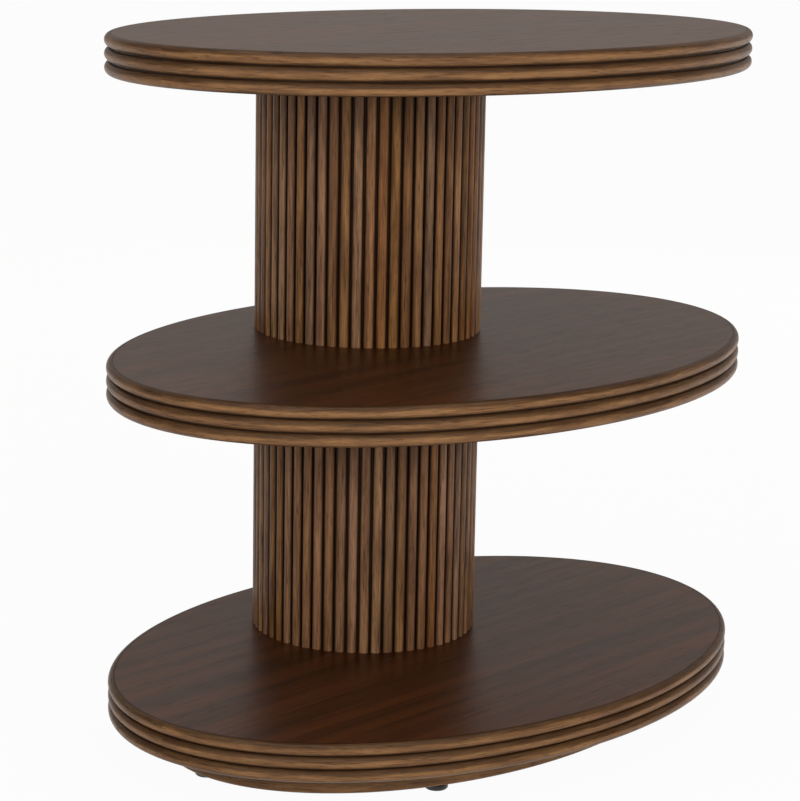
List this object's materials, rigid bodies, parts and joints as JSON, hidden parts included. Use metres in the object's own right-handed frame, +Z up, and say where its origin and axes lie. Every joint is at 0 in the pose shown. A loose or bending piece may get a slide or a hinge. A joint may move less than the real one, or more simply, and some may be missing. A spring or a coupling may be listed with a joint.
{
  "type": "side table",
  "caption": "Oval tiered wooden side table with beaded shelf edges, reeded round columns set back from the middle, a recessed plinth and levelling feet.",
  "frame": {"origin": "centre of the bounding box at floor level, under the middle of the oval shelves", "axes": "+X along the shelves' long axis, +Y towards the side that the columns stand nearer to (the back), +Z up"},
  "size_m": [0.66, 0.4688, 0.6196],
  "materials": {
    "walnut_face_veneer": "satin lacquer",
    "walnut_backing_veneer": "matte lacquer",
    "board_core": "raw board",
    "walnut_edge_moulding": "satin lacquer",
    "walnut_reeds": "satin lacquer",
    "bent_plywood": "stained",
    "walnut_plinth": "satin lacquer",
    "zinc_plated_steel": "zinc plated",
    "zinc_alloy_insert": "zinc plated",
    "beech_dowel": "raw",
    "black_nylon_pad": "moulded matte"
  },
  "bodies": {
    "table": {"top_veneer": "walnut_face_veneer", "top_backing": "walnut_backing_veneer", "top_core": "board_core", "top_rim_front_left": "walnut_edge_moulding", "top_rim_front_right": "walnut_edge_moulding", "top_rim_back_left": "walnut_edge_moulding", "top_rim_back_right": "walnut_edge_moulding", "middle_veneer": "walnut_face_veneer", "middle_backing": "walnut_backing_veneer", "middle_core": "board_core", "middle_rim_front_left": "walnut_edge_moulding", "middle_rim_front_right": "walnut_edge_moulding", "middle_rim_back_left": "walnut_edge_moulding", "middle_rim_back_right": "walnut_edge_moulding", "base_veneer": "walnut_face_veneer", "base_backing": "walnut_backing_veneer", "base_core": "board_core", "base_rim_front_left": "walnut_edge_moulding", "base_rim_front_right": "walnut_edge_moulding", "base_rim_back_left": "walnut_edge_moulding", "base_rim_back_right": "walnut_edge_moulding", "upper_drum": "bent_plywood", "upper_reeds": "walnut_reeds", "upper_bottom_disc": "board_core", "upper_top_disc": "board_core", "lower_drum": "bent_plywood", "lower_reeds": "walnut_reeds", "lower_bottom_disc": "board_core", "lower_top_disc": "board_core", "plinth_front": "walnut_plinth", "plinth_back": "walnut_plinth", "plinth_left": "walnut_plinth", "plinth_right": "walnut_plinth", "plinth_screws": "zinc_plated_steel", "anchor_screws": "zinc_plated_steel", "tie_rod": "zinc_plated_steel", "anchor_nut": "zinc_plated_steel", "tie_nut": "zinc_plated_steel", "tie_washer": "zinc_plated_steel", "anchor_plate": "zinc_plated_steel", "top_dowels": "beech_dowel", "middle_dowels": "beech_dowel", "base_dowels": "beech_dowel", "foot_inserts": "zinc_alloy_insert"},
    "foot_left": {"foot_left_pad": "black_nylon_pad", "foot_left_stud": "zinc_plated_steel"},
    "foot_right": {"foot_right_pad": "black_nylon_pad", "foot_right_stud": "zinc_plated_steel"},
    "foot_front_left": {"foot_front_left_pad": "black_nylon_pad", "foot_front_left_stud": "zinc_plated_steel"},
    "foot_front_right": {"foot_front_right_pad": "black_nylon_pad", "foot_front_right_stud": "zinc_plated_steel"},
    "foot_back_left": {"foot_back_left_pad": "black_nylon_pad", "foot_back_left_stud": "zinc_plated_steel"},
    "foot_back_right": {"foot_back_right_pad": "black_nylon_pad", "foot_back_right_stud": "zinc_plated_steel"}
  },
  "joints": [
    {"name": "foot_left_screw", "type": "slide", "parent": "table", "child": "foot_left", "axis": [0, 0, -1], "range_m": [-0.0004, 0.01]},
    {"name": "foot_right_screw", "type": "slide", "parent": "table", "child": "foot_right", "axis": [0, 0, -1], "range_m": [-0.0004, 0.01]},
    {"name": "foot_front_left_screw", "type": "slide", "parent": "table", "child": "foot_front_left", "axis": [0, 0, -1], "range_m": [-0.0004, 0.01]},
    {"name": "foot_front_right_screw", "type": "slide", "parent": "table", "child": "foot_front_right", "axis": [0, 0, -1], "range_m": [-0.0004, 0.01]},
    {"name": "foot_back_left_screw", "type": "slide", "parent": "table", "child": "foot_back_left", "axis": [0, 0, -1], "range_m": [-0.0004, 0.01]},
    {"name": "foot_back_right_screw", "type": "slide", "parent": "table", "child": "foot_back_right", "axis": [0, 0, -1], "range_m": [-0.0004, 0.01]}
  ]
}
